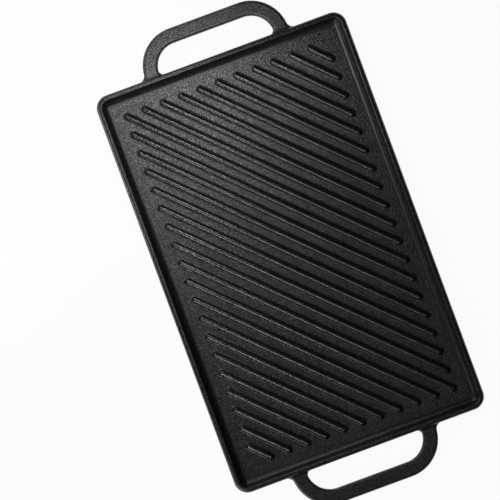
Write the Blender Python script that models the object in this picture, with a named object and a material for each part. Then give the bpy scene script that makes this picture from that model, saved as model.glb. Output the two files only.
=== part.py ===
"""Cast iron grill plate: ribbed grill face on top, smooth face underneath, a loop handle at each end.

Metres, +Z up. The plate lies along X with its ribbed face up. The origin is under its centre,
on the surface that the lower edge of the rim rests on. The real plate is one casting: the
objects here are its natural regions, which meet with a small seam gap.
"""
import bmesh
import bpy
from math import atan2, cos, pi, radians, sin, sqrt, tan
from mathutils import Matrix, Vector

MM = 0.001

# Plate outline, without the handles
PLATE_LENGTH = 425.4 * MM
PLATE_WIDTH = 267.0 * MM
CORNER_RADIUS = 14.0 * MM
MIN_CORNER_RADIUS = 1.0 * MM

# Heights, from the surface that the plate rests on
FLAT_SIDE_DEPTH = 5.0 * MM
WEB_THICKNESS = 5.0 * MM
RIB_SIDE_DEPTH = 8.5 * MM
RIM_HEIGHT = FLAT_SIDE_DEPTH + WEB_THICKNESS + RIB_SIDE_DEPTH
FLOOR_HEIGHT = FLAT_SIDE_DEPTH + WEB_THICKNESS

# Rim section: rounded outer edge, flat land, drafted inner wall, fillet to the floor
RIM_EDGE_ROUND = 4.2 * MM
RIM_LAND = 0.5 * MM
RIM_INNER_ROUND = 0.8 * MM
RIM_DRAFT = radians(25.0)
FLOOR_FILLET = 6.5 * MM
RIM_FLOOR_STRIP = 0.4 * MM

# Grill ribs, at 45 degrees across the plate
RIB_PITCH = 13.9 * MM
RIB_HEIGHT = 3.8 * MM
RIB_CROWN_RADIUS = 2.5 * MM
RIB_DRAFT = radians(25.0)
RIB_END_MARGIN = 9.9 * MM
RIB_ROOT_DEPTH = 1.0 * MM
RIB_SHORTEST = 12.0 * MM

# Loop handles
HANDLE_REACH = 41.3 * MM
HANDLE_SPAN = 153.4 * MM
HANDLE_CORNER_RADIUS = 39.5 * MM
HANDLE_BAR_WIDTH = 15.3 * MM
HANDLE_THICKNESS = 10.0 * MM
HANDLE_EDGE_ROUND = 3.0 * MM
HANDLE_OUTER_FILLET = 7.0 * MM
HANDLE_INNER_FILLET = 4.8 * MM
LUG_LENGTH = 8.0 * MM
LUG_ROOT_DEPTH = RIM_EDGE_ROUND + RIM_LAND / 2
FILLET_SINK = 0.15 * MM

# Clearance between the regions of the casting
SEAM_GAP = 0.3 * MM

# Facets along round shapes
CORNER_STEPS = 7
EDGE_STEPS = 4
INNER_EDGE_STEPS = 2
FILLET_STEPS = 4
RIB_END_SIDES = 8
HANDLE_CORNER_STEPS = 12
ROOT_FILLET_STEPS = 5
HANDLE_EDGE_STEPS = 3
SMOOTH_ANGLE = radians(40.0)

WELD_DISTANCE = 0.001 * MM


def clear_scene():
    for thing in list(bpy.data.objects):
        bpy.data.objects.remove(thing, do_unlink=True)


def new_collection(name):
    collection = bpy.data.collections.new(name)
    bpy.context.scene.collection.children.link(collection)
    return collection


def iron_material(name, grey, roughness):
    material = bpy.data.materials.new(name)
    material.use_nodes = True
    shader = material.node_tree.nodes["Principled BSDF"]
    shader.inputs["Base Color"].default_value = (grey, grey, grey, 1.0)
    shader.inputs["Metallic"].default_value = 0.0
    shader.inputs["Roughness"].default_value = roughness
    return material


def object_from_bmesh(bm, name, collection, material=None):
    bmesh.ops.recalc_face_normals(bm, faces=bm.faces[:])
    mesh = bpy.data.meshes.new(name)
    bm.to_mesh(mesh)
    bm.free()
    mesh.shade_smooth()
    mesh.set_sharp_from_angle(angle=SMOOTH_ANGLE)
    if material:
        mesh.materials.append(material)
    thing = bpy.data.objects.new(name, mesh)
    collection.objects.link(thing)
    return thing


def make_cutter(thing):
    thing.hide_render = True
    thing.display_type = 'WIRE'


def union_with(thing, other):
    modifier = thing.modifiers.new("join_" + other.name, 'BOOLEAN')
    modifier.operation = 'UNION'
    modifier.solver = 'EXACT'
    modifier.object = other


def arc(centre, radius, start, end, steps):
    """Points of an arc in the XY plane, both ends included."""
    angles = [start + (end - start) * step / steps for step in range(steps + 1)]
    return [(centre[0] + radius * cos(a), centre[1] + radius * sin(a)) for a in angles]


def vertex_ring(bm, points, height):
    return [bm.verts.new((x, y, height)) for x, y in points]


def after(items):
    """The same items in a circle, each moved on by one."""
    return items[1:] + items[:1]


def loft_round(bm, rings):
    """Quads between each ring of vertices and the next, and from the last back to the first."""
    for ring, next_ring in zip(rings, after(rings)):
        for a, b, c, d in zip(ring, after(ring), after(next_ring), next_ring):
            bm.faces.new((a, b, c, d))


def rim_side_profile(depth):
    """(inset, drop) points of one side of the rim, from its outer wall to the tray's floor.

    The inset is measured from the plate's outer edge, and the drop from the rim's land.
    """
    turn = pi / 2 - RIM_DRAFT
    inner_edge_drop = RIM_INNER_ROUND * (1 - cos(turn))
    fillet = min(FLOOR_FILLET, (depth - inner_edge_drop) / (1 - cos(turn)))
    wall_height = depth - inner_edge_drop - fillet * (1 - cos(turn))
    land_end = RIM_EDGE_ROUND + RIM_LAND
    floor_start = (
        land_end + RIM_INNER_ROUND * sin(turn) + wall_height * tan(RIM_DRAFT) + fillet * sin(turn)
    )
    points = []
    for step in range(EDGE_STEPS + 1):
        a = pi / 2 * step / EDGE_STEPS
        points.append((RIM_EDGE_ROUND * (1 - cos(a)), RIM_EDGE_ROUND * (1 - sin(a))))
    for step in range(INNER_EDGE_STEPS + 1):
        a = turn * step / INNER_EDGE_STEPS
        points.append((land_end + RIM_INNER_ROUND * sin(a), RIM_INNER_ROUND * (1 - cos(a))))
    for step in range(FILLET_STEPS + 1):
        a = turn * (1 - step / FILLET_STEPS)
        points.append((floor_start - fillet * sin(a), depth - fillet * (1 - cos(a))))
    return points


RIB_SIDE_PROFILE = rim_side_profile(RIB_SIDE_DEPTH)
FLAT_SIDE_PROFILE = rim_side_profile(FLAT_SIDE_DEPTH)
WINDOW_INSET = max(RIB_SIDE_PROFILE[-1][0], FLAT_SIDE_PROFILE[-1][0]) + RIM_FLOOR_STRIP


def corner_radius_at(inset):
    return max(CORNER_RADIUS - inset, MIN_CORNER_RADIUS)


def plate_outline(inset):
    """The plate's rounded rectangle, moved inwards by the inset."""
    radius = corner_radius_at(inset)
    centre_x = PLATE_LENGTH / 2 - inset - radius
    centre_y = PLATE_WIDTH / 2 - inset - radius
    points = []
    for quarter, (side_x, side_y) in enumerate(((1, 1), (-1, 1), (-1, -1), (1, -1))):
        start = quarter * pi / 2
        centre = (side_x * centre_x, side_y * centre_y)
        points += arc(centre, radius, start, start + pi / 2, CORNER_STEPS)
    return points


def build_rim_ring(collection, material):
    """The rim with its strip of floor, lofted round the plate from its section."""
    section = [(inset, RIM_HEIGHT - drop) for inset, drop in RIB_SIDE_PROFILE]
    section.append((WINDOW_INSET, FLOOR_HEIGHT))
    section.append((WINDOW_INSET, FLAT_SIDE_DEPTH))
    section += list(reversed(FLAT_SIDE_PROFILE))
    bm = bmesh.new()
    loft_round(bm, [vertex_ring(bm, plate_outline(inset), height) for inset, height in section])
    return object_from_bmesh(bm, "rim", collection, material)


def handle_outline():
    """The loop handle seen from above: x outwards from the plate's edge, y along it."""
    centre = (HANDLE_REACH - HANDLE_CORNER_RADIUS, HANDLE_SPAN / 2 - HANDLE_CORNER_RADIUS)
    outer_radius = HANDLE_CORNER_RADIUS
    inner_radius = HANDLE_CORNER_RADIUS - HANDLE_BAR_WIDTH

    outer_x = HANDLE_OUTER_FILLET - FILLET_SINK
    outer_reach = outer_radius + HANDLE_OUTER_FILLET
    outer_y = centre[1] + sqrt(outer_reach ** 2 - (outer_x - centre[0]) ** 2)
    outer_tangent = atan2(outer_y - centre[1], outer_x - centre[0])

    inner_x = HANDLE_INNER_FILLET - FILLET_SINK
    inner_reach = inner_radius - HANDLE_INNER_FILLET
    inner_y = centre[1] + sqrt(inner_reach ** 2 - (inner_x - centre[0]) ** 2)
    inner_tangent = atan2(inner_y - centre[1], inner_x - centre[0])

    outside = [(-LUG_ROOT_DEPTH, outer_y)]
    outside += arc((outer_x, outer_y), HANDLE_OUTER_FILLET, pi, pi + outer_tangent, ROOT_FILLET_STEPS)
    outside += arc(centre, outer_radius, outer_tangent, 0, HANDLE_CORNER_STEPS)[1:]
    inside = [(-LUG_ROOT_DEPTH, inner_y)]
    inside += arc((inner_x, inner_y), HANDLE_INNER_FILLET, pi, inner_tangent, ROOT_FILLET_STEPS)
    inside += arc(centre, inner_radius, inner_tangent, 0, HANDLE_CORNER_STEPS)[1:]

    half = outside + [(x, -y) for x, y in reversed(outside)]
    return half + [(x, -y) for x, y in inside] + list(reversed(inside))


def handle_loop():
    """The whole loop with both roots, centred on the rim's mid height."""
    bm = bmesh.new()
    bm.faces.new(vertex_ring(bm, handle_outline(), -HANDLE_THICKNESS / 2))
    grown = bmesh.ops.extrude_face_region(bm, geom=bm.faces[:])["geom"]
    raised = [item for item in grown if isinstance(item, bmesh.types.BMVert)]
    bmesh.ops.translate(bm, verts=raised, vec=(0, 0, HANDLE_THICKNESS))
    bmesh.ops.recalc_face_normals(bm, faces=bm.faces[:])
    inside_rim = -LUG_ROOT_DEPTH + WELD_DISTANCE
    level_edges = [e for e in bm.edges if e.verts[0].co.z == e.verts[1].co.z]
    long_edges = [e for e in level_edges if max(v.co.x for v in e.verts) > inside_rim]
    bmesh.ops.bevel(
        bm, geom=long_edges, offset=HANDLE_EDGE_ROUND, offset_type='OFFSET',
        segments=HANDLE_EDGE_STEPS, profile=0.5, affect='EDGES', material=-1,
    )
    return bm


def cut_loop(bm, distance, keep_root):
    """Cuts the loop across at a distance from the plate's edge and closes the cut."""
    bmesh.ops.bisect_plane(
        bm, geom=bm.verts[:] + bm.edges[:] + bm.faces[:], dist=WELD_DISTANCE,
        plane_co=(distance, 0, 0), plane_no=(1, 0, 0),
        clear_outer=keep_root, clear_inner=not keep_root,
    )
    open_edges = [edge for edge in bm.edges if edge.is_boundary]
    bmesh.ops.edgeloop_fill(bm, edges=open_edges)
    return bm


def place_at_end(thing, side):
    """Puts a handle piece at the plate's +X end (side 1) or -X end (side -1)."""
    thing.location = (side * PLATE_LENGTH / 2, 0, RIM_HEIGHT / 2)
    thing.rotation_euler = (0, 0, 0 if side > 0 else pi)


def build_rim(parts, cutters, material):
    rim = build_rim_ring(parts, material)
    lugs = cut_loop(handle_loop(), LUG_LENGTH, keep_root=True)
    first = object_from_bmesh(lugs, "lugs_right", cutters)
    second = bpy.data.objects.new("lugs_left", first.data)
    cutters.objects.link(second)
    for thing, side in ((first, 1), (second, -1)):
        place_at_end(thing, side)
        make_cutter(thing)
        union_with(rim, thing)
    return rim


def build_handles(parts, material):
    loop = cut_loop(handle_loop(), LUG_LENGTH + SEAM_GAP, keep_root=False)
    right = object_from_bmesh(loop, "handle_right", parts, material)
    left = bpy.data.objects.new("handle_left", right.data)
    parts.objects.link(left)
    place_at_end(right, 1)
    place_at_end(left, -1)
    return left, right


def rib_rings():
    """(radius, height) of the rounded ends of a rib, from its root up to its crown."""
    slope = tan(RIB_DRAFT)
    shoulder_height = RIB_HEIGHT - RIB_CROWN_RADIUS * (1 - sin(RIB_DRAFT))
    shoulder = RIB_CROWN_RADIUS * cos(RIB_DRAFT)
    crown_turn = (RIB_DRAFT + pi / 2) / 2
    return [
        (shoulder + (shoulder_height + RIB_ROOT_DEPTH) * slope, -RIB_ROOT_DEPTH),
        (shoulder, shoulder_height),
        (RIB_CROWN_RADIUS * cos(crown_turn), RIB_HEIGHT - RIB_CROWN_RADIUS * (1 - sin(crown_turn))),
        (RIB_CROWN_RADIUS * cos(crown_turn) / 2, RIB_HEIGHT),
    ]


def rib_base_radius():
    """Half the width of a rib where it meets the floor."""
    root_radius, root_height = rib_rings()[0]
    return root_radius + root_height * tan(RIB_DRAFT)


def rib_spans():
    """The end centres of each rib, on lines at 45 degrees clipped to the rib field."""
    end_inset = WINDOW_INSET + RIB_END_MARGIN + rib_base_radius()
    reach_x = PLATE_LENGTH / 2 - end_inset
    reach_y = PLATE_WIDTH / 2 - end_inset
    step = RIB_PITCH * sqrt(2)
    count = int((reach_x + reach_y - RIB_SHORTEST / sqrt(2)) / step)
    spans = []
    for index in range(-count, count + 1):
        offset = index * step
        low = max(-reach_x, -reach_y + offset)
        high = min(reach_x, reach_y + offset)
        spans.append(((low, low - offset), (high, high - offset)))
    return spans


def build_ribs(cutters):
    """All the ribs as one hidden set of separate bodies."""
    ribs = bmesh.new()
    for ends in rib_spans():
        one = bmesh.new()
        for x, y in ends:
            for radius, height in rib_rings():
                place = Matrix.Translation(Vector((x, y, height)))
                bmesh.ops.create_circle(one, radius=radius, segments=RIB_END_SIDES, matrix=place)
        hull = bmesh.ops.convex_hull(one, input=one.verts[:])
        loose = {item for item in hull["geom_interior"] + hull["geom_unused"]}
        loose = [item for item in loose if isinstance(item, bmesh.types.BMVert)]
        bmesh.ops.delete(one, geom=loose, context='VERTS')
        mesh = bpy.data.meshes.new("rib")
        one.to_mesh(mesh)
        one.free()
        ribs.from_mesh(mesh)
        bpy.data.meshes.remove(mesh)
    thing = object_from_bmesh(ribs, "rib_set", cutters)
    thing.location = (0, 0, FLOOR_HEIGHT)
    make_cutter(thing)
    return thing


def build_cooking_plate(parts, cutters, material):
    """The web between the two faces, with the ribs grown on its upper face."""
    inset = WINDOW_INSET + SEAM_GAP
    bm = bmesh.new()
    bmesh.ops.create_cube(bm, size=1.0)
    size = Vector((PLATE_LENGTH - 2 * inset, PLATE_WIDTH - 2 * inset, WEB_THICKNESS))
    bmesh.ops.scale(bm, vec=size, verts=bm.verts[:])
    upright = [e for e in bm.edges if e.verts[0].co.z != e.verts[1].co.z]
    bmesh.ops.bevel(
        bm, geom=upright, offset=corner_radius_at(WINDOW_INSET) - SEAM_GAP, offset_type='OFFSET',
        segments=CORNER_STEPS, profile=0.5, affect='EDGES', material=-1,
    )
    plate = object_from_bmesh(bm, "cooking_plate", parts, material)
    plate.location = (0, 0, FLAT_SIDE_DEPTH + WEB_THICKNESS / 2)
    union_with(plate, build_ribs(cutters))
    return plate


def main():
    clear_scene()
    parts = new_collection("cast_iron_grill_plate")
    cutters = new_collection("cutters")
    build_cooking_plate(parts, cutters, iron_material("seasoned_iron_plate", 0.022, 0.48))
    build_rim(parts, cutters, iron_material("seasoned_iron_rim", 0.020, 0.45))
    build_handles(parts, iron_material("seasoned_iron_handle", 0.021, 0.46))


main()
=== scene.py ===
from collections import namedtuple
from math import atan2, cos, pi, radians, sin, sqrt, tan

import bmesh
import bpy
from mathutils import Matrix, Vector


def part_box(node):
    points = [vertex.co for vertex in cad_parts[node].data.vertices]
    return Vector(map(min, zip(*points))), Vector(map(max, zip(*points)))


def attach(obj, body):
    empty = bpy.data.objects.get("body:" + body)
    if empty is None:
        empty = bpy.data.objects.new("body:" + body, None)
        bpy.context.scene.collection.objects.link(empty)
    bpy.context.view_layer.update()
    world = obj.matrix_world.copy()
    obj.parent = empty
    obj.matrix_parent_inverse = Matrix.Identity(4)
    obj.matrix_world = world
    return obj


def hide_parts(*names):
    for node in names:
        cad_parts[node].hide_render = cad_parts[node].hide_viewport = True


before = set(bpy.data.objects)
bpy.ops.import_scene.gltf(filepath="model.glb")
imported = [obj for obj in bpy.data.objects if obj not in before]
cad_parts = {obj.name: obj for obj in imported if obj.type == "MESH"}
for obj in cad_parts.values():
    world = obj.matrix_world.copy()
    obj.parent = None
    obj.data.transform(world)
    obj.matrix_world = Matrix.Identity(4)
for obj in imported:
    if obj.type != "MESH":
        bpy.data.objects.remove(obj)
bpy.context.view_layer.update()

MM = 0.001

# Driving dimensions of the casting
PLATE_LENGTH = 425.4 * MM
PLATE_WIDTH = 2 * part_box("rim")[1].y
CORNER_RADIUS = 14.0 * MM
RIM_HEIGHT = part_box("rim")[1].z
FLAT_SIDE_DEPTH = 5.0 * MM
WEB_THICKNESS = 5.0 * MM
FLOOR_HEIGHT = FLAT_SIDE_DEPTH + WEB_THICKNESS
RIB_SIDE_DEPTH = RIM_HEIGHT - FLOOR_HEIGHT

# Rim section
RIM_EDGE_ROUND = 4.2 * MM
RIM_LAND = 0.5 * MM
RIM_INNER_ROUND = 0.8 * MM
RIM_DRAFT = radians(25.0)
FLOOR_FILLET = 6.5 * MM
FLOOR_STRIP = 0.4 * MM
OUTER_DRAFT = radians(2.0)

# Insets from the plate's outer edge: the top of the inner wall, and the window that the cooking plate fills
SECTION_TURN = pi / 2 - RIM_DRAFT
INNER_ROUND_RUN = RIM_INNER_ROUND * tan(SECTION_TURN / 2)
FLOOR_FILLET_RUN = FLOOR_FILLET * tan(SECTION_TURN / 2)
WALL_TOP_INSET = RIM_EDGE_ROUND + RIM_LAND + INNER_ROUND_RUN
WINDOW_INSET = WALL_TOP_INSET + RIB_SIDE_DEPTH * tan(RIM_DRAFT) + FLOOR_FILLET_RUN + FLOOR_STRIP

# Ribs
RIB_PITCH = 13.9 * MM
RIB_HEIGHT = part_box("cooking_plate")[1].z - FLOOR_HEIGHT
RIB_CROWN_RADIUS = 2.5 * MM
RIB_DRAFT = radians(25.0)
RIB_FOOT_FILLET = 2.5 * MM
RIB_END_MARGIN = 9.9 * MM
RIB_SHORTEST = 12.0 * MM
RIB_FLAT = 0.35 * MM

# Loop handles
HANDLE_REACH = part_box("handle_right")[1].x - PLATE_LENGTH / 2
HANDLE_SPAN = 153.4 * MM
HANDLE_CORNER_RADIUS = 39.5 * MM
HANDLE_BAR_WIDTH = 15.3 * MM
HANDLE_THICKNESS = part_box("handle_right")[1].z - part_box("handle_right")[0].z
HANDLE_EDGE_ROUND = 3.0 * MM
HANDLE_OUTER_FILLET = 7.0 * MM
HANDLE_INNER_FILLET = 4.8 * MM

# The handles' roots: the stubs on the rim, how deep they start, and how they blend into its outer wall
LUG_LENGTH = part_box("rim")[1].x - PLATE_LENGTH / 2
LUG_ROOT_DEPTH = RIM_EDGE_ROUND + RIM_LAND / 2
FILLET_SINK = 0.15 * MM
ROOT_BLEND = 1.2 * MM
ROOT_BLEND_SINK = 0.3 * MM

# How finely round shapes are cut
CORNER_STEPS = 12
EDGE_STEPS = 9
FILLET_STEPS = 9
INNER_EDGE_STEPS = 4
RIB_END_STEPS = 24
RIB_CROWN_STEPS = 6
RIB_FOOT_STEPS = 5
HANDLE_CORNER_STEPS = 22
ROOT_FILLET_STEPS = 9
ROOT_BLEND_STEPS = 6

# What counts as a smooth edge, a level face and one point, and the strip of flat beside a round
SMOOTH_ANGLE = radians(25.0)
NEARLY_LEVEL = 0.999
WELD = 0.001 * MM
FLAT_STRIP = 0.2 * MM


# Mesh helpers

def finish_mesh(bm, name):
    """Turns a bmesh into a smooth-shaded object of the part."""
    bmesh.ops.recalc_face_normals(bm, faces=bm.faces[:])
    mesh = bpy.data.meshes.new(name)
    bm.to_mesh(mesh)
    bm.free()
    mesh.shade_smooth()
    mesh.set_sharp_from_angle(angle=SMOOTH_ANGLE)
    thing = bpy.data.objects.new(name, mesh)
    bpy.context.scene.collection.objects.link(thing)
    return thing


def bevel_edges(bm, edges, offset, segments):
    """Rounds edges, in a number of steps."""
    bmesh.ops.bevel(
        bm, geom=edges, offset=offset, offset_type='OFFSET', segments=segments,
        profile=0.5, affect='EDGES', material=-1,
    )


def inset_face(bm, face, thickness, depth=0.0):
    """Insets one face; the same face stays in the middle, sunk by the depth."""
    bmesh.ops.inset_region(
        bm, faces=[face], thickness=thickness, depth=-depth, use_even_offset=True, use_boundary=True,
    )


def cut_across(bm, place, normal, **clear):
    """Cuts a bmesh by a plane, and clears one side where it is told to."""
    bmesh.ops.bisect_plane(
        bm, geom=bm.verts[:] + bm.edges[:] + bm.faces[:], dist=WELD,
        plane_co=place, plane_no=normal, **clear,
    )


def arc(centre, radius, start, end, steps):
    """Points of an arc in the XY plane, both ends included."""
    angles = [start + (end - start) * step / steps for step in range(steps + 1)]
    return [(centre[0] + radius * cos(angle), centre[1] + radius * sin(angle)) for angle in angles]


# Rim

def sink_tray(bm, face, depth, body_inset):
    """Sinks a tray into the top or bottom of the body: land, drafted wall, and floor out to the window.

    Returns the face over the window, and the loops of edges at the wall's top and at its foot.
    """
    wall_run = depth * tan(RIM_DRAFT)
    inset_face(bm, face, WALL_TOP_INSET - body_inset)
    top_loop = face.edges[:]
    inset_face(bm, face, wall_run, depth)
    foot_loop = face.edges[:]
    inset_face(bm, face, WINDOW_INSET - WALL_TOP_INSET - wall_run)
    return face, top_loop, foot_loop


def rim_ring():
    """The frame round both trays, and the outline of the window that the cooking plate fills."""
    body_inset = RIM_HEIGHT / 2 * tan(OUTER_DRAFT)
    bm = bmesh.new()
    bmesh.ops.create_cube(bm, size=1.0)
    size = Vector((PLATE_LENGTH - 2 * body_inset, PLATE_WIDTH - 2 * body_inset, RIM_HEIGHT))
    bmesh.ops.scale(bm, vec=size, verts=bm.verts[:])
    bmesh.ops.translate(bm, vec=(0, 0, RIM_HEIGHT / 2), verts=bm.verts[:])
    upright = [e for e in bm.edges if abs(e.verts[0].co.z - e.verts[1].co.z) > WELD]
    bevel_edges(bm, upright, CORNER_RADIUS - body_inset, CORNER_STEPS)
    bm.faces.ensure_lookup_table()
    top = max(bm.faces, key=lambda f: f.calc_center_median().z)
    bottom = min(bm.faces, key=lambda f: f.calc_center_median().z)
    outer_loops = top.edges[:] + bottom.edges[:]
    rounds = [(outer_loops, RIM_EDGE_ROUND, EDGE_STEPS)]
    windows = []
    for face, depth in ((top, RIB_SIDE_DEPTH), (bottom, FLAT_SIDE_DEPTH)):
        window, top_loop, foot_loop = sink_tray(bm, face, depth, body_inset)
        windows.append(window)
        rounds.append((top_loop, INNER_ROUND_RUN, INNER_EDGE_STEPS))
        rounds.append((foot_loop, FLOOR_FILLET_RUN, FILLET_STEPS))
    outline = [(loop.vert.co.x, loop.vert.co.y) for loop in windows[0].loops]
    bridged = [edge for window in windows for edge in window.edges]
    bmesh.ops.delete(bm, geom=windows, context='FACES_ONLY')
    bmesh.ops.bridge_loops(bm, edges=bridged)
    for edges, offset, segments in rounds:
        bevel_edges(bm, edges, offset, segments)
    cut_across(bm, (0, 0, RIM_HEIGHT / 2), (0, 0, 1))
    parting = [v for v in bm.verts if abs(v.co.z - RIM_HEIGHT / 2) < WELD and is_outer(v)]
    bmesh.ops.scale(bm, vec=(PLATE_LENGTH / size.x, PLATE_WIDTH / size.y, 1.0), verts=parting)
    return bm, outline


def is_outer(vert):
    """Whether a vertex lies on the outer wall, and not inside the rim."""
    from_end = PLATE_LENGTH / 2 - abs(vert.co.x)
    from_side = PLATE_WIDTH / 2 - abs(vert.co.y)
    in_corner = max(from_end, from_side) < CORNER_RADIUS
    return in_corner or min(from_end, from_side) < RIM_EDGE_ROUND


# Handles

def handle_outline():
    """The loop handle seen from above: x outwards from the plate's edge, y along it."""
    centre = (HANDLE_REACH - HANDLE_CORNER_RADIUS, HANDLE_SPAN / 2 - HANDLE_CORNER_RADIUS)
    outer_radius = HANDLE_CORNER_RADIUS
    inner_radius = HANDLE_CORNER_RADIUS - HANDLE_BAR_WIDTH

    outer_x = HANDLE_OUTER_FILLET - FILLET_SINK
    outer_y = centre[1] + sqrt((outer_radius + HANDLE_OUTER_FILLET) ** 2 - (outer_x - centre[0]) ** 2)
    outer_tangent = atan2(outer_y - centre[1], outer_x - centre[0])

    inner_x = HANDLE_INNER_FILLET - FILLET_SINK
    inner_y = centre[1] + sqrt((inner_radius - HANDLE_INNER_FILLET) ** 2 - (inner_x - centre[0]) ** 2)
    inner_tangent = atan2(inner_y - centre[1], inner_x - centre[0])

    outside = [(-LUG_ROOT_DEPTH, outer_y)]
    outside += arc((outer_x, outer_y), HANDLE_OUTER_FILLET, pi, pi + outer_tangent, ROOT_FILLET_STEPS)
    outside += arc(centre, outer_radius, outer_tangent, 0, HANDLE_CORNER_STEPS)[1:]
    inside = [(-LUG_ROOT_DEPTH, inner_y)]
    inside += arc((inner_x, inner_y), HANDLE_INNER_FILLET, pi, inner_tangent, ROOT_FILLET_STEPS)
    inside += arc(centre, inner_radius, inner_tangent, 0, HANDLE_CORNER_STEPS)[1:]

    half = outside + [(x, -y) for x, y in reversed(outside)]
    return half + [(x, -y) for x, y in inside] + list(reversed(inside))


def handle_loop():
    """The whole loop with both roots, at the plate's +X end."""
    bm = bmesh.new()
    ring = [bm.verts.new((x, y, -HANDLE_THICKNESS / 2)) for x, y in handle_outline()]
    bottom = bm.faces.new(ring)
    grown = bmesh.ops.extrude_face_region(bm, geom=[bottom])["geom"]
    raised = [item for item in grown if isinstance(item, bmesh.types.BMVert)]
    bmesh.ops.translate(bm, verts=raised, vec=(0, 0, HANDLE_THICKNESS))
    bmesh.ops.recalc_face_normals(bm, faces=bm.faces[:])
    inside_rim = -LUG_ROOT_DEPTH + WELD
    level = [e for e in bm.edges if e.verts[0].co.z == e.verts[1].co.z]
    free = [e for e in level if max(v.co.x for v in e.verts) > inside_rim]
    bevel_edges(bm, free, HANDLE_EDGE_ROUND, EDGE_STEPS)
    flats = [f for f in bm.faces if abs(f.normal.z) > NEARLY_LEVEL and len(f.verts) > 4]
    bmesh.ops.inset_individual(bm, faces=flats, thickness=FLAT_STRIP, use_even_offset=True)
    flare_roots(bm)
    return bm


def flare_roots(bm):
    """Blends the loop's top and bottom faces into the plate's outer wall."""
    for step in range(ROOT_BLEND_STEPS + 1):
        angle = pi / 2 * step / ROOT_BLEND_STEPS
        cut_across(bm, (ROOT_BLEND * (1 - sin(angle)) - ROOT_BLEND_SINK, 0, 0), (1, 0, 0))
    for vert in bm.verts:
        nearness = 1 - (vert.co.x + ROOT_BLEND_SINK) / ROOT_BLEND
        nearness = min(max(nearness, 0.0), 1.0)
        rise = ROOT_BLEND * (1 - sqrt(1 - nearness ** 2))
        vert.co.z *= 1 + rise / (HANDLE_THICKNESS / 2)


def loop_part(name, side, **clear):
    """What is left of the loop once one side of the cut at its roots is cleared.

    It is closed, and stands at the plate's +X end (side 1) or -X end (side -1).
    """
    bm = handle_loop()
    cut_across(bm, (LUG_LENGTH, 0, 0), (1, 0, 0), **clear)
    bmesh.ops.edgeloop_fill(bm, edges=[e for e in bm.edges if e.is_boundary])
    place = Matrix.Translation((side * PLATE_LENGTH / 2, 0, RIM_HEIGHT / 2))
    turn = Matrix.Rotation(0 if side > 0 else pi, 4, 'Z')
    bmesh.ops.transform(bm, matrix=place @ turn, verts=bm.verts[:])
    return finish_mesh(bm, name)


def make_handle(name, side):
    """A handle, out from its roots."""
    return loop_part(name, side, clear_inner=True)


def make_rim():
    """The rim joined to the handles' roots, and the outline of its window."""
    ring, outline = rim_ring()
    rim = finish_mesh(ring, "rim_casting")
    cutters = []
    for side in (1, -1):
        lugs = loop_part("handle_roots", side, clear_outer=True)
        joint = rim.modifiers.new("join_roots", 'BOOLEAN')
        joint.operation = 'UNION'
        joint.solver = 'EXACT'
        joint.object = lugs
        cutters.append(lugs)
    graph = bpy.context.evaluated_depsgraph_get()
    joined = bpy.data.meshes.new_from_object(rim.evaluated_get(graph))
    rim.modifiers.clear()
    rim.data = joined
    for lugs in cutters:
        bpy.data.objects.remove(lugs)
    joined.shade_smooth()
    joined.set_sharp_from_angle(angle=SMOOTH_ANGLE)
    return rim, outline


# Cooking plate

def rib_profile():
    """(radius, height) from a rib's crown down its flank and foot fillet to the floor."""
    crown = RIB_CROWN_RADIUS
    turn = pi / 2 - RIB_DRAFT
    shoulder = (crown * sin(turn), RIB_HEIGHT - crown * (1 - cos(turn)))
    foot_height = RIB_FOOT_FILLET * (1 - cos(turn))
    foot_edge = shoulder[0] + (shoulder[1] - foot_height) * tan(RIB_DRAFT)
    foot_end = foot_edge + RIB_FOOT_FILLET * sin(turn)
    points = [(RIB_FLAT, RIB_HEIGHT)]
    for step in range(1, RIB_CROWN_STEPS + 1):
        angle = turn * step / RIB_CROWN_STEPS
        if crown * sin(angle) > RIB_FLAT:
            points.append((crown * sin(angle), RIB_HEIGHT - crown * (1 - cos(angle))))
    for step in range(RIB_FOOT_STEPS + 1):
        angle = turn * (1 - step / RIB_FOOT_STEPS)
        points.append((foot_end - RIB_FOOT_FILLET * sin(angle), RIB_FOOT_FILLET * (1 - cos(angle))))
    points.append((foot_end + FLAT_STRIP, 0.0))
    return points


def rib_spans():
    """The end centres of each rib, on lines at 45 degrees clipped to the rib field."""
    base_radius = RIB_CROWN_RADIUS * cos(RIB_DRAFT)
    base_radius += (RIB_HEIGHT - RIB_CROWN_RADIUS * (1 - sin(RIB_DRAFT))) * tan(RIB_DRAFT)
    inset = WINDOW_INSET + RIB_END_MARGIN + base_radius
    reach_x = PLATE_LENGTH / 2 - inset
    reach_y = PLATE_WIDTH / 2 - inset
    step = RIB_PITCH * sqrt(2)
    count = int((reach_x + reach_y - RIB_SHORTEST / sqrt(2)) / step)
    for index in range(-count, count + 1):
        offset = index * step
        low = max(-reach_x, -reach_y + offset)
        high = min(reach_x, reach_y + offset)
        yield Vector((low, low - offset)), Vector((high, high - offset))


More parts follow.
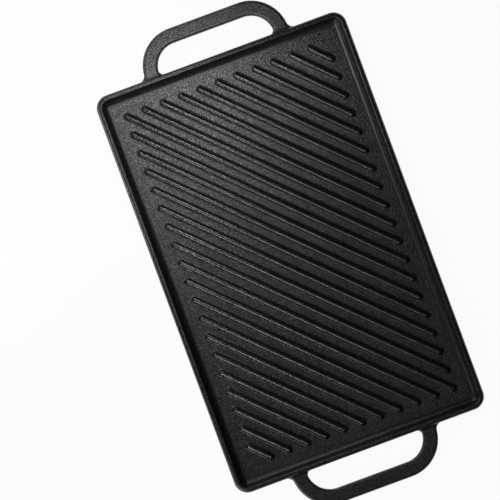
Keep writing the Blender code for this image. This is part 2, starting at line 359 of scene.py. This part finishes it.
def add_rib(bm, start, end):
    """A turned button with the rib's section, pulled apart along its length."""
    seen = set(bm.verts)
    profile = [bm.verts.new((radius, 0, height)) for radius, height in rib_profile()]
    lines = [bm.edges.new(pair) for pair in zip(profile, profile[1:])]
    bmesh.ops.spin(
        bm, geom=profile + lines, cent=(0, 0, 0), axis=(0, 0, 1), dvec=(0, 0, 0),
        angle=2 * pi, steps=RIB_END_STEPS, use_merge=True, use_duplicate=False,
    )
    button = [v for v in bm.verts if v not in seen]
    half_step = Matrix.Rotation(pi / RIB_END_STEPS, 4, 'Z')
    bmesh.ops.transform(bm, matrix=half_step, verts=button)
    length = (end - start).length
    bmesh.ops.translate(bm, vec=(length, 0, 0), verts=[v for v in button if v.co.x > 0])
    crown = {v for v in button if v.co.z > RIB_HEIGHT - WELD}
    open_crown = [e for e in bm.edges if e.is_boundary and crown.issuperset(e.verts)]
    bmesh.ops.edgeloop_fill(bm, edges=open_crown)
    turn = Matrix.Rotation(pi / 4, 4, 'Z')
    place = Matrix.Translation((start.x, start.y, 0))
    bmesh.ops.transform(bm, matrix=place @ turn, verts=button)


def make_cooking_plate(outline):
    """The web between the two trays, with its ribs: a floor round the ribs' feet, and a plain underside."""
    bm = bmesh.new()
    ring = [bm.verts.new((x, y, 0)) for x, y in outline]
    border = [bm.edges.new(pair) for pair in zip(ring, ring[1:] + ring[:1])]
    for start, end in rib_spans():
        add_rib(bm, start, end)
    open_edges = [e for e in bm.edges if len(e.link_faces) < 2]
    bmesh.ops.triangle_fill(bm, edges=open_edges, use_beauty=True, use_dissolve=False, normal=(0, 0, 1))
    grown = bmesh.ops.extrude_edge_only(bm, edges=border)["geom"]
    lowered = [item for item in grown if isinstance(item, bmesh.types.BMVert)]
    bmesh.ops.translate(bm, vec=(0, 0, -WEB_THICKNESS), verts=lowered)
    bmesh.ops.edgeloop_fill(bm, edges=[e for e in bm.edges if e.is_boundary])
    bmesh.ops.translate(bm, vec=(0, 0, FLOOR_HEIGHT), verts=bm.verts[:])
    return finish_mesh(bm, "grill_face_casting")


# Materials

# The casting's skin: cells to the metre, their detail and roughness, and the range of noise that counts
PEBBLES_PER_METRE = 750.0
PEBBLE_DETAIL = 1.0
PEBBLE_ROUGHNESS = 0.5
PEBBLE_MIDDLE = 0.5
FLECK_RANGE = (0.36, 0.64)
MOTTLE_PER_METRE = 60.0
MOTTLE_DETAIL = 4.0
MOTTLE_ROUGHNESS = 0.6
MOTTLE_RANGE = (0.3, 0.7)

# Factors on the iron's shade from a pit to a pebble's top, and from the mottle's dull patches to its
# glossy ones, and what they add to its roughness
FLECK_SHADES = (0.1, 5.0)
MOTTLE_SHADES = (0.9, 1.1)
MOTTLE_ROUGHENING = (0.03, -0.03)

# Factors on the iron's values where it is fully worn
WORN_METAL = 2.2
WORN_ROUGHNESS = 0.6
WORN_PEBBLES = 0.5

IRON_IOR = 1.5
IRON_ROUGHNESS = 0.32

# A region's finish: its shade, the metal in its flecks, and its pebbles' height. All three regions are the
# same iron; the rim's much lower shade and the handles' slightly lower one are painted shade.
Finish = namedtuple("Finish", "shade metal pebbles")
PLATE_FINISH = Finish(shade=0.02, metal=0.95, pebbles=0.5 * MM)
# Painted shade: the rim's low shade darkens its walls and fillets as shade would.
RIM_FINISH_WITH_PAINTED_SHADE = Finish(shade=0.004, metal=0.17, pebbles=0.2 * MM)
# Painted shade: the handles' shade is set a little below the plate's.
HANDLE_FINISH_WITH_PAINTED_SHADE = Finish(shade=0.0175, metal=0.9, pebbles=0.4 * MM)

# Wear by the distance above or below a height: where it starts and is full, and its factor on the shade,
# which lightens the worn places partly as painted highlight
Worn = namedtuple("Worn", "height starts full shade")
# Worn rib crowns: glossier and more metallic, and a lighter shade that is partly painted highlight on the
# crowns.
WORN_AND_HIGHLIT_CROWNS = Worn(
    height=0.0,
    starts=FLOOR_HEIGHT + RIB_HEIGHT * 0.5,
    full=FLOOR_HEIGHT + RIB_HEIGHT * 0.85,
    shade=1.5,
)
# Worn rim lands: glossier and more metallic, and a much lighter shade that is partly painted highlight
# along the rim's top.
WORN_AND_HIGHLIT_LANDS = Worn(
    height=RIM_HEIGHT / 2,
    starts=RIM_HEIGHT / 2 - 1.5 * MM,
    full=RIM_HEIGHT / 2 - 0.3 * MM,
    shade=3.5,
)

# Where the rim's finish, with its painted shade, turns into the handles', out along their roots
ROOT_REACH = (PLATE_LENGTH / 2 + 0.5 * MM, PLATE_LENGTH / 2 + 4.5 * MM)


def new_group(name, inputs, outputs):
    """An empty shader group with a vector input, and named float inputs and outputs."""
    group = bpy.data.node_groups.new(name, 'ShaderNodeTree')
    group.interface.new_socket("Vector", in_out='INPUT', socket_type='NodeSocketVector')
    for label, value in inputs.items():
        socket = group.interface.new_socket(label, in_out='INPUT', socket_type='NodeSocketFloat')
        socket.default_value = value
    for label in outputs:
        group.interface.new_socket(label, in_out='OUTPUT', socket_type='NodeSocketFloat')
    return group, group.nodes.new('NodeGroupInput'), group.nodes.new('NodeGroupOutput')


def put_in(tree, given, socket):
    """Links another node's output to an input socket, or sets the socket to a number."""
    if isinstance(given, bpy.types.NodeSocket):
        tree.links.new(given, socket)
    else:
        socket.default_value = given


def spread(tree, source, low, high, to_low, to_high):
    """Maps a value from one range to another, clamped, and returns the result's socket."""
    node = tree.nodes.new('ShaderNodeMapRange')
    put_in(tree, source, node.inputs["Value"])
    put_in(tree, low, node.inputs["From Min"])
    put_in(tree, high, node.inputs["From Max"])
    put_in(tree, to_low, node.inputs["To Min"])
    put_in(tree, to_high, node.inputs["To Max"])
    return node.outputs["Result"]


def calculate(tree, operation, first, second=0.0, clamp=False):
    """A maths node's result."""
    node = tree.nodes.new('ShaderNodeMath')
    node.operation = operation
    node.use_clamp = clamp
    put_in(tree, first, node.inputs[0])
    put_in(tree, second, node.inputs[1])
    return node.outputs["Value"]


def axis_value(tree, vector, axis):
    """One coordinate of a vector."""
    node = tree.nodes.new('ShaderNodeSeparateXYZ')
    tree.links.new(vector, node.inputs["Vector"])
    return node.outputs[axis]


def noise(tree, vector, scale, detail, roughness):
    """A noise of about 0 to 1 over the vector, its scale taken from a socket."""
    node = tree.nodes.new('ShaderNodeTexNoise')
    node.inputs["Detail"].default_value = detail
    node.inputs["Roughness"].default_value = roughness
    tree.links.new(vector, node.inputs["Vector"])
    tree.links.new(scale, node.inputs["Scale"])
    return node.outputs["Fac"]


def casting_skin_group():
    """The fine pebbled skin of sand-cast iron: a height, flecks on its pebbles, and a slow mottle."""
    scales = {"Pebbles per metre": PEBBLES_PER_METRE, "Mottle per metre": MOTTLE_PER_METRE}
    group, given, result = new_group("casting_skin", scales, ("Height", "Fleck", "Mottle"))
    vector = given.outputs["Vector"]
    pebbles = noise(group, vector, given.outputs["Pebbles per metre"], PEBBLE_DETAIL, PEBBLE_ROUGHNESS)
    mottle = noise(group, vector, given.outputs["Mottle per metre"], MOTTLE_DETAIL, MOTTLE_ROUGHNESS)
    group.links.new(calculate(group, 'SUBTRACT', pebbles, PEBBLE_MIDDLE), result.inputs["Height"])
    group.links.new(spread(group, pebbles, *FLECK_RANGE, 0.0, 1.0), result.inputs["Fleck"])
    group.links.new(spread(group, mottle, *MOTTLE_RANGE, 0.0, 1.0), result.inputs["Mottle"])
    return group


def wear_and_highlight_group():
    """Wear that grows from 0 to 1 over a range of distance above and below a height; where it lightens the
    shade, it also places painted highlight.
    """
    zone = {"From height": 0.0, "Starts at": 0.0, "Full at": 1.0}
    group, given, result = new_group("rubbed_wear_and_highlight", zone, ("Wear",))
    height = axis_value(group, given.outputs["Vector"], "Z")
    rise = calculate(group, 'SUBTRACT', height, given.outputs["From height"])
    distance = calculate(group, 'ABSOLUTE', rise)
    wear = spread(group, distance, given.outputs["Starts at"], given.outputs["Full at"], 0.0, 1.0)
    group.links.new(wear, result.inputs["Wear"])
    return group


def use_group(tree, group, place, values):
    """Puts a group into a material, with its own values."""
    node = tree.nodes.new('ShaderNodeGroup')
    node.node_tree = group
    tree.links.new(place, node.inputs["Vector"])
    for label, value in values.items():
        node.inputs[label].default_value = value
    return node


def plain_values(tree, surface, finish):
    """The iron's shade, metal, roughness and pebble height before any wear."""
    fleck, mottle = surface.outputs["Fleck"], surface.outputs["Mottle"]
    pit, top = (finish.shade * factor for factor in FLECK_SHADES)
    dull, glossy = (IRON_ROUGHNESS + change for change in MOTTLE_ROUGHENING)
    flecked = spread(tree, fleck, 0.0, 1.0, pit, top)
    mottled = spread(tree, mottle, 0.0, 1.0, *MOTTLE_SHADES)
    return {
        "shade": calculate(tree, 'MULTIPLY', mottled, flecked),
        "metal": spread(tree, fleck, 0.0, 1.0, 0.0, finish.metal),
        "roughness": spread(tree, mottle, 0.0, 1.0, dull, glossy),
        "height": surface.outputs["Height"],
    }


def scale_values(tree, values, mask, factors):
    """Multiplies named values by their factors, as far as the mask says."""
    for key, factor in factors.items():
        values[key] = calculate(tree, 'MULTIPLY', values[key], spread(tree, mask, 0.0, 1.0, 1.0, factor))


def rub_down_and_highlight(tree, values, place, wear, worn):
    """Wears the iron: lighter, partly as painted highlight, glossier, more metal in its flecks, and its
    pebbles lower.
    """
    zone = {"From height": worn.height, "Starts at": worn.starts, "Full at": worn.full}
    mask = use_group(tree, wear, place, zone).outputs["Wear"]
    scale_values(tree, values, mask, {
        "shade": worn.shade,
        "metal": WORN_METAL,
        "roughness": WORN_ROUGHNESS,
        "height": WORN_PEBBLES,
    })


def turn_into_handles(tree, values, place, finish):
    """Turns a finish, with its painted shade, into the handles' finish and painted shade, out along their
    roots.
    """
    reach = calculate(tree, 'ABSOLUTE', axis_value(tree, place, "X"))
    mask = spread(tree, reach, *ROOT_REACH, 0.0, 1.0)
    scale_values(tree, values, mask, {
        "shade": HANDLE_FINISH_WITH_PAINTED_SHADE.shade / finish.shade,
        "metal": HANDLE_FINISH_WITH_PAINTED_SHADE.metal / finish.metal,
    })


def drive_shader(tree, values, finish):
    """Feeds the iron's values to its shader."""
    shader = tree.nodes["Principled BSDF"]
    shader.inputs["IOR"].default_value = IRON_IOR
    bump = tree.nodes.new('ShaderNodeBump')
    bump.inputs["Strength"].default_value = 1.0
    bump.inputs["Distance"].default_value = finish.pebbles
    grey = tree.nodes.new('ShaderNodeCombineColor')
    for channel in ("Red", "Green", "Blue"):
        tree.links.new(values["shade"], grey.inputs[channel])
    tree.links.new(values["height"], bump.inputs["Height"])
    tree.links.new(grey.outputs["Color"], shader.inputs["Base Color"])
    tree.links.new(values["metal"], shader.inputs["Metallic"])
    tree.links.new(values["roughness"], shader.inputs["Roughness"])
    tree.links.new(bump.outputs["Normal"], shader.inputs["Normal"])


def seasoned_iron(name, skin, wear, finish, worn=None, has_roots=False):
    """Black seasoned cast iron, worn where it is rubbed and lighter there partly as painted highlight; the
    handles' roots take the handles' finish and painted shade.
    """
    material = bpy.data.materials.new(name)
    material.use_nodes = True
    tree = material.node_tree
    place = tree.nodes.new('ShaderNodeTexCoord').outputs["Object"]
    values = plain_values(tree, use_group(tree, skin, place, {}), finish)
    if has_roots:
        turn_into_handles(tree, values, place, finish)
    if worn is not None:
        rub_down_and_highlight(tree, values, place, wear, worn)
    drive_shader(tree, values, finish)
    return material


# Studio

# The camera: its turn against the plate's length, the width that it sees, its distance and its aim
VIEW_TURN = radians(20.27)
VIEW_FIELD = 503.6 * MM
VIEW_DISTANCE = 3.2
VIEW_AIM = Vector((-16.4 * MM, -37.3 * MM, RIM_HEIGHT / 2))
SENSOR_WIDTH = 36.0

# Softboxes that face straight down: x, y, height, two sides and radiance
OVERHEAD_LIGHTS = {
    "key_core": (-0.22, -0.08, 0.22, 0.10, 0.10, 3.0),
    "key_corner": (-0.195, -0.015, 0.22, 0.10, 0.14, 3.1),
    "key_middle": (-0.12, -0.05, 0.28, 0.10, 0.10, 2.0),
    "key_wide": (-0.20, -0.10, 0.33, 0.15, 0.15, 0.8),
    "key_near": (-0.10, -0.20, 0.33, 0.15, 0.15, 1.5),
    "key_side": (-0.17, -0.27, 0.33, 0.12, 0.10, 1.6),
    "overhead_middle": (0.0, -0.19, 0.60, 0.20, 0.40, 1.0),
    "overhead_far": (0.40, 0.10, 0.70, 0.50, 0.50, 0.24),
}

# Softboxes low at the picture's left, aimed at the plate's middle: degrees from +X and from the floor,
# and radiance
LOW_LIGHTS = {
    "low_near": (235.0, 20.0, 4.0),
    "low_left": (300.0, 18.0, 6.0),
    "low_left_far": (330.0, 18.0, 2.0),
    "low_left_high": (315.0, 28.0, 2.8),
    "low_left_floor": (315.0, 9.0, 4.0),
}
LOW_LIGHT_DISTANCE = 0.95
LOW_LIGHT_SIZE = (0.28, 0.22)

# Softboxes aimed at the rim's outer edge: place, aim, size, radiance
EDGE_LIGHTS = {
    "far_end": ((-0.46, -0.10, 0.25), (-0.21, -0.06, 0.0), (0.20, 0.15), 3.2),
    "near_strip": ((-0.15, -0.35, 0.03), (-0.15, 0.0, 0.0), (0.20, 0.05), 7.4),
}

# The world's strength above the horizon and below it, and the blend between them in the vector's Z
AMBIENT_LIGHT = 0.025
UNDERSIDE_LIGHT = 0.6
HORIZON_BLUR = 0.1

# The paper: its white, half its side, its gap below the plate, and how much of its glow is seen
WHITE = (1.0, 1.0, 1.0, 1.0)
PAPER_WHITE = (0.8, 0.8, 0.8, 1.0)
FLOOR_REACH = 12.0
FLOOR_DROP = 0.1 * MM
FLOOR_GLOW = 0.95


def make_camera():
    """A long lens straight above the plate, its picture turned against the plate's length."""
    data = bpy.data.cameras.new("camera")
    data.sensor_width = SENSOR_WIDTH
    data.lens = SENSOR_WIDTH * VIEW_DISTANCE / VIEW_FIELD
    camera = bpy.data.objects.new("camera", data)
    bpy.context.scene.collection.objects.link(camera)
    back = Vector((0, 0, 1))
    up = Vector((-cos(VIEW_TURN), sin(VIEW_TURN), 0))
    right = up.cross(back)
    turn = Matrix((right, up, back)).transposed()
    camera.matrix_world = Matrix.Translation(VIEW_AIM + back * VIEW_DISTANCE) @ turn.to_4x4()
    bpy.context.scene.camera = camera


def area_light(name, place, aim, size, radiance):
    """A softbox whose face has the given radiance."""
    data = bpy.data.lights.new(name, 'AREA')
    data.shape = 'RECTANGLE'
    data.size, data.size_y = size
    data.energy = radiance * pi * data.size * data.size_y
    light = bpy.data.objects.new(name, data)
    bpy.context.scene.collection.objects.link(light)
    light.visible_camera = False
    light.location = place
    towards = Vector(aim) - Vector(place)
    light.rotation_mode = 'QUATERNION'
    light.rotation_quaternion = towards.to_track_quat('-Z', 'Y')


def make_lights():
    """A key above the plate's upper left that fades outwards, low lights from its left, and edge lights."""
    for name, (x, y, height, size_x, size_y, radiance) in OVERHEAD_LIGHTS.items():
        area_light(name, (x, y, height), (x, y, 0.0), (size_x, size_y), radiance)
    for name, (azimuth, elevation, radiance) in LOW_LIGHTS.items():
        turn, rise = radians(azimuth), radians(elevation)
        direction = Vector((cos(turn) * cos(rise), sin(turn) * cos(rise), sin(rise)))
        area_light(name, direction * LOW_LIGHT_DISTANCE, (0.0, 0.0, 0.0), LOW_LIGHT_SIZE, radiance)
    for name, (place, aim, size, radiance) in EDGE_LIGHTS.items():
        area_light(name, place, aim, size, radiance)


def mixed(tree, share, first, second):
    """Two shaders mixed; a share of 1 is all of the second."""
    node = tree.nodes.new('ShaderNodeMixShader')
    tree.links.new(share, node.inputs[0])
    tree.links.new(first, node.inputs[1])
    tree.links.new(second, node.inputs[2])
    return node.outputs[0]


def make_world():
    """White to the camera; to all else nearly dark above the floor, and a soft light from below."""
    world = bpy.data.worlds.new("studio")
    bpy.context.scene.world = world
    world.use_nodes = True
    tree = world.node_tree
    tree.nodes.clear()
    room = tree.nodes.new('ShaderNodeBackground')
    room.inputs["Color"].default_value = WHITE
    seen = tree.nodes.new('ShaderNodeBackground')
    seen.inputs["Color"].default_value = WHITE
    seen.inputs["Strength"].default_value = 1.0
    rise = axis_value(tree, tree.nodes.new('ShaderNodeTexCoord').outputs["Generated"], "Z")
    strength = spread(tree, rise, -HORIZON_BLUR, 0.0, UNDERSIDE_LIGHT, AMBIENT_LIGHT)
    tree.links.new(strength, room.inputs["Strength"])
    rays = tree.nodes.new('ShaderNodeLightPath')
    surface = mixed(tree, rays.outputs["Is Camera Ray"], room.outputs[0], seen.outputs[0])
    tree.links.new(surface, tree.nodes.new('ShaderNodeOutputWorld').inputs["Surface"])


def white_paper():
    """Paper that mostly glows where it is seen, so only a faint shadow shows, and clear from below."""
    material = bpy.data.materials.new("white_paper")
    material.use_nodes = True
    tree = material.node_tree
    tree.nodes.clear()
    paper = tree.nodes.new('ShaderNodeBsdfDiffuse')
    paper.inputs["Color"].default_value = PAPER_WHITE
    glow = tree.nodes.new('ShaderNodeEmission')
    glow.inputs["Color"].default_value = WHITE
    glow.inputs["Strength"].default_value = 1.0
    clear = tree.nodes.new('ShaderNodeBsdfTransparent')
    rays = tree.nodes.new('ShaderNodeLightPath')
    seen = rays.outputs["Is Camera Ray"]
    for label in ("Is Glossy Ray", "Is Transmission Ray"):
        seen = calculate(tree, 'ADD', seen, rays.outputs[label], clamp=True)
    share = calculate(tree, 'MULTIPLY', seen, FLOOR_GLOW)
    upper = mixed(tree, share, paper.outputs[0], glow.outputs[0])
    side = tree.nodes.new('ShaderNodeNewGeometry').outputs["Backfacing"]
    surface = mixed(tree, side, upper, clear.outputs[0])
    tree.links.new(surface, tree.nodes.new('ShaderNodeOutputMaterial').inputs["Surface"])
    return material


def make_floor():
    """The sheet of paper that the plate lies on."""
    bm = bmesh.new()
    bmesh.ops.create_grid(bm, x_segments=1, y_segments=1, size=FLOOR_REACH)
    bmesh.ops.translate(bm, vec=(0, 0, -FLOOR_DROP), verts=bm.verts[:])
    mesh = bpy.data.meshes.new("floor")
    bm.to_mesh(mesh)
    bm.free()
    mesh.materials.append(white_paper())
    floor = bpy.data.objects.new("floor", mesh)
    bpy.context.scene.collection.objects.link(floor)


def dress(piece, material, node):
    """Gives a piece its one material, and puts it in place of its CAD node."""
    piece.data.materials.clear()
    piece.data.materials.append(material)
    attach(piece, "root")
    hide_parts(node)


def main():
    skin, wear = casting_skin_group(), wear_and_highlight_group()
    rim, outline = make_rim()
    plate = make_cooking_plate(outline)
    plate_iron = seasoned_iron("seasoned_plate", skin, wear, PLATE_FINISH, WORN_AND_HIGHLIT_CROWNS)
    dress(plate, plate_iron, "cooking_plate")
    rim_iron = seasoned_iron("seasoned_rim_painted_shade", skin, wear, RIM_FINISH_WITH_PAINTED_SHADE, WORN_AND_HIGHLIT_LANDS, has_roots=True)
    dress(rim, rim_iron, "rim")
    handle_iron = seasoned_iron("seasoned_handle", skin, wear, HANDLE_FINISH_WITH_PAINTED_SHADE)
    dress(make_handle("left_handle_casting", -1), handle_iron, "handle_left")
    dress(make_handle("right_handle_casting", 1), handle_iron, "handle_right")
    make_floor()
    make_world()
    make_lights()
    make_camera()
    bpy.context.scene.view_settings.view_transform = 'Standard'


main()
